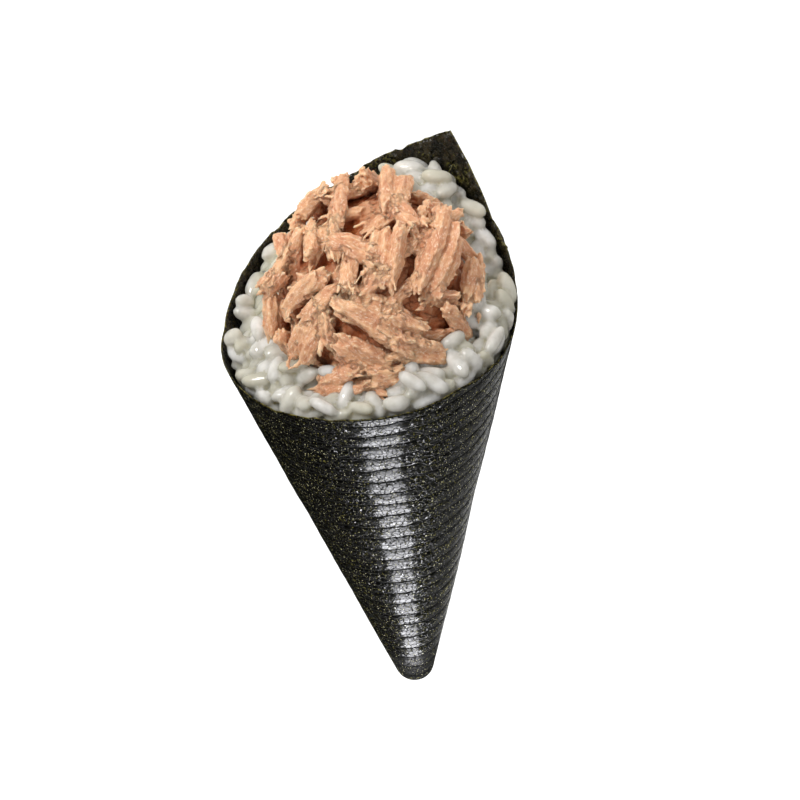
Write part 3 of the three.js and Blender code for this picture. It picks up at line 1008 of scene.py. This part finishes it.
def tuna_core():
    """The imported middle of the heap, which stops just below the rice's surface."""
    rings = []
    for k in range(1, HEAP_CORE_RINGS):
        rise = HEAP_CORE_BASE + (math.pi / 2 - HEAP_CORE_BASE) * k / HEAP_CORE_RINGS
        ring = around(turns(HEAP_CORE_SIDES), math.cos(rise), math.sin(rise))
        rings.append(ring * HEAP_SIZE * CORE_SHARE + HEAP_CENTRE)
    rings = np.array(rings)
    flat = rings.reshape(-1, 3)
    out = (flat - HEAP_CENTRE) / HEAP_SIZE
    flat += out * (noise(flat, 3.5, 41) + 0.6 * noise(flat, 1.8, 42))[:, None]
    base, top = (
        HEAP_CENTRE + np.array([0, 0, math.sin(rise) * HEAP_SIZE[2] * CORE_SHARE])
        for rise in (HEAP_CORE_BASE, math.pi / 2)
    )
    return skin(base, flat.reshape(rings.shape), top)


def tuna_mesh():
    rng = np.random.default_rng(5)
    placed = [flake for flake in flakes() if below_rice(flake[0][None])[0] <= HIDDEN_DEPTH]
    parts = []
    for place, axes, length, width, thickness in placed:
        points, faces = flake_parts(rng, length, width, thickness)
        points = bent(points, length, FLAKE_CURVE, rng.uniform(-0.4, 0.4))
        pitch = Matrix.Rotation(rng.uniform(-0.22, 0.22), 3, "Y")
        roll = Matrix.Rotation(rng.uniform(-0.3, 0.3), 3, "X")
        parts.append((place + points @ np.array(pitch @ roll) @ axes.T, faces))
    parts.append(tuna_core())
    parts += shreds(*remeshed(*joined(parts), COARSE_VOXEL, LEAST_LUMP))
    places, quads = remeshed(*joined(parts), TUNA_VOXEL, LEAST_LUMP)
    places = smoothed(places, quads, 1)

    owner = owners_of(places, parts[: len(placed)])
    middles, frames, lengths = (np.array([flake[k] for flake in placed])[owner] for k in range(3))
    local = np.einsum("nji,nj->ni", frames, places - middles)
    fibre = local + owner[:, None] * np.array([17.0, 31.0, 7.0])
    wavy = fibre + 0.35 * noise(places, 2.2, 50)[:, None]
    threads = noise(wavy, (3.2, 0.5, 0.5), 51)
    bundles = noise(wavy, (4.5, 1.5, 1.5), 52)
    lumps = noise(places, 1.3, 53)
    crumbs = noise(places, 0.7, 54)
    grit = noise(wavy, (0.8, 0.42, 0.42), 55)
    ends = np.clip(np.abs(local[:, 0]) / (lengths / 2) * 1.6 - 0.7, 0, 1)
    out = 0.14 * threads + 0.18 * bundles + 0.1 * lumps + (0.14 + 0.06 * ends) * crumbs + 0.13 * grit
    places += normals_over(places, quads) * out[:, None]
    # The ends are torn off fibre by fibre.
    tear = noise(wavy, (7, 0.6, 0.6), 56) + 0.6 * noise(wavy, (3, 0.33, 0.33), 57)
    places += frames[:, :, 0] * (np.sign(local[:, 0]) * ends * 0.8 * tear)[:, None]
    edge = standing_out(places, quads, 14)
    tone = rng.uniform(0, 1, len(placed))[owner]
    mesh = mesh_of("tuna_heap", places, quads.tolist())
    add_values(mesh, fibre=fibre, tone=tone, torn=ends, level=heap_level(places), edge=edge)
    return simplified(mesh, TUNA_TRIANGLES)


def shreds(places, quads):
    """Thin torn shreds that stand up along the edges of a heap's flakes."""
    rng = np.random.default_rng(6)
    normals = normals_over(places, quads)
    edge = standing_out(places, quads, 8)
    weight = np.clip(edge - 0.1, 0, 0.5) * (heap_level(places) > 0.93)
    parts = []
    for i in rng.choice(len(places), SHREDS, replace=False, p=weight / weight.sum()):
        size = rng.uniform(0.16, 0.3)
        way = normals[i] * rng.uniform(0.2, 0.9) + rng.normal(0, 0.6, 3)
        way *= rng.uniform(0.5, 1.2) / np.linalg.norm(way)
        parts.append(splinter(rng, places[i] - normals[i] * 0.2, way, size))
    return parts


def tuna_material():
    shader = Shader("tuna")
    place = shader.vectors("roll")
    fibre = shader.vectors("fibre")
    edge = shader.numbers("edge")
    lines = shader.noise(shader.stretched(fibre, (0.16, 1, 1)), 0.4, roughness=0.6, distortion=0.3)
    blotches = shader.noise(place, 3.5, detail=3, roughness=0.55)
    grain = shader.noise(shader.stretched(fibre, (0.6, 1, 1)), 0.38, detail=3, roughness=0.75)
    grit = shader.noise(place, 0.2, roughness=0.6)
    hue = shader.plus(blotches, shader.times(shader.numbers("tone"), 0.2))
    flesh = shader.faded(hue, 0.45, 0.75, rgb(226, 178, 137), rgb(208, 149, 113))
    veined = shader.mixed(shader.spread(lines, 0.28, 0.45, 0.45, 0), flesh, rgb(190, 118, 84))
    lined = shader.mixed(shader.spread(lines, 0.52, 0.7, 0, 0.5), veined, rgb(238, 206, 174))
    # Painted shade: the grain's low places, which its bumps set back, are darker.
    painted_pit_shade = shader.mixed(shader.spread(grain, 0.32, 0.46, 0.45, 0), lined, rgb(186, 112, 68))
    # Pale specks on the grain's high places: partly the flesh's own grain, partly a painted sparkle
    # highlight.
    grain_and_painted_sparkle = shader.mixed(shader.spread(grain, 0.54, 0.64, 0, 0.7), painted_pit_shade, rgb(252, 228, 202))
    # Painted highlight: places that stand out of their surroundings are lighter cream.
    painted_ridge_highlight = shader.mixed(shader.spread(edge, 0.0, 0.3, 0, 0.55), grain_and_painted_sparkle, rgb(248, 214, 176))
    # Painted shade: places that sink below their surroundings are darker orange-brown.
    sunk = shader.mixed(shader.spread(edge, -0.5, 0.0, 0.8, 0), painted_ridge_highlight, rgb(198, 112, 62))
    tipped = shader.mixed(shader.times(shader.numbers("torn"), 0.2), sunk, rgb(242, 206, 164))
    # Painted shade: deeper inside the heap the flesh is darker brown.
    painted_deep_shade = shader.faded(shader.numbers("level"), 0.84, 0.98, rgb(160, 84, 42), tipped)
    return shader.finished({
        "Base Color": painted_deep_shade,
        "Roughness": shader.spread(grain, 0.4, 0.65, 0.45, 0.16),
        "IOR": 1.4,
        "Subsurface Weight": 0.6,
        "Subsurface Radius": (1.0, 0.8, 0.65),
        "Subsurface Scale": 0.7 * MM,
        "Specular Tint": (1.0, 0.9, 0.8, 1.0),
        "Normal": shader.bumps((lines, 0.17), (grain, 0.19), (grit, 0.09)),
    })


# ---- the floor, the lights and the camera ----


def floor_piece():
    corners = [(x * FLOOR_HALF, y * FLOOR_HALF, 0) for x, y in ((-1, -1), (1, -1), (1, 1), (-1, 1))]
    mesh = bpy.data.meshes.new("floor")
    mesh.from_pydata(corners, [], [(0, 1, 2, 3)])
    shader = Shader("studio_floor")
    soft = shader.noise(shader.add("TexCoord", {}, out="Object"), 0.3)
    colour = shader.mixed(soft, rgb(250, 250, 250), rgb(252, 252, 252))
    inputs = {"Base Color": colour, "Roughness": 0.9, "Specular IOR Level": 0.1}
    mesh.materials.append(shader.finished(inputs))
    floor = new_object("floor", mesh)
    floor.visible_glossy = False
    return floor


def area_light(name, direction, distance, size, radiance, lit, shading, tint=(1, 1, 1)):
    """A soft box that faces the roll from a direction of the world.

    It lights one group of pieces. Another one casts its shadows, or every piece where that is None.
    """
    light = bpy.data.lights.new(name, "AREA")
    light.shape = "RECTANGLE"
    light.size, light.size_y = size
    light.energy = radiance * math.pi * size[0] * size[1]
    light.color = tint
    lamp = new_object(name, light)
    way = Vector(direction).normalized()
    lamp.location = way * distance
    lamp.rotation_euler = way.to_track_quat("Z", "Y").to_euler()
    lamp.visible_camera = False
    lamp.light_linking.receiver_collection = lit
    lamp.light_linking.blocker_collection = shading


def group_of(name, *pieces):
    group = bpy.data.collections.new(name)
    for piece in pieces:
        group.objects.link(piece)
    return group


def lights(floor, nori, tuna, *grains):
    on_floor = group_of("floor_alone", floor)
    on_roll = group_of("roll_alone", nori, tuna, *grains)
    on_rice = group_of("rice_alone", *grains)
    on_nori = group_of("nori_alone", nori)
    round_tuna = group_of("nori_and_rice", nori, *grains)
    on_others = group_of("tuna_and_nori", tuna, nori)
    above = (0.0, -0.2, 1.0)
    front = (0.42, -0.8, 0.40)
    bluish = (0.95, 0.95, 1.0)
    area_light("wash", above, 2.0, (3.0, 3.0), 2.5, on_floor, on_floor)
    area_light("grounding", above, 2.0, (3.0, 3.0), 0.8, on_floor, None)
    area_light("key", front, 1.3, (0.3, 0.2), 58.0, on_others, on_roll)
    area_light("overhead", (-0.15, -0.2, 0.97), 1.8, (1.0, 1.0), 3.0, on_others, on_roll)
    area_light("rice_glints", front, 1.3, (0.22, 0.22), 66.0, on_rice, on_roll)
    area_light("rice_softly", (0.1, -0.7, 0.7), 1.0, (1.6, 1.6), 0.94, on_rice, round_tuna)
    area_light("strip", (0.01, 1.0, 0.0), 0.3, (0.075, 0.2), 50.0, on_nori, on_roll, tint=bluish)
    area_light("bounce", (-0.37, 0.79, -0.45), 0.5, (0.4, 0.4), 0.95, on_nori, on_nori)
    world = bpy.data.worlds.new("studio")
    world.use_nodes = True
    background = world.node_tree.nodes["Background"]
    background.inputs["Color"].default_value = (1, 1, 1, 1)
    background.inputs["Strength"].default_value = AMBIENT
    world.cycles_visibility.glossy = False
    bpy.context.scene.world = world


def camera():
    data = bpy.data.cameras.new("camera")
    data.lens = LENS
    data.sensor_width = SENSOR
    data.clip_end = 10
    eye = new_object("camera", data)
    toward = Vector(toward_sight)
    axes = Matrix([Vector(seen_right), Vector(seen_up), toward]).transposed().to_4x4()
    place = Matrix.Translation((CAMERA_AIM + toward * CAMERA_DISTANCE) * MM)
    eye.matrix_world = ROLL @ place @ axes
    bpy.context.scene.camera = eye


camera()
rice = rice_material()
lights(
    floor_piece(),
    piece_of(seaweed_mesh(), [seaweed_material(), seaweed_inner_material()], "nori", "nori_wrap"),
    piece_of(tuna_mesh(), [tuna_material()], "tuna", "tuna_flakes"),
    piece_of(rice_core_mesh(), [rice], "rice", "sushi_rice"),
    piece_of(grains_mesh(), [rice], "rice", "sushi_rice"),
)
bpy.context.scene.view_settings.view_transform = "Standard"
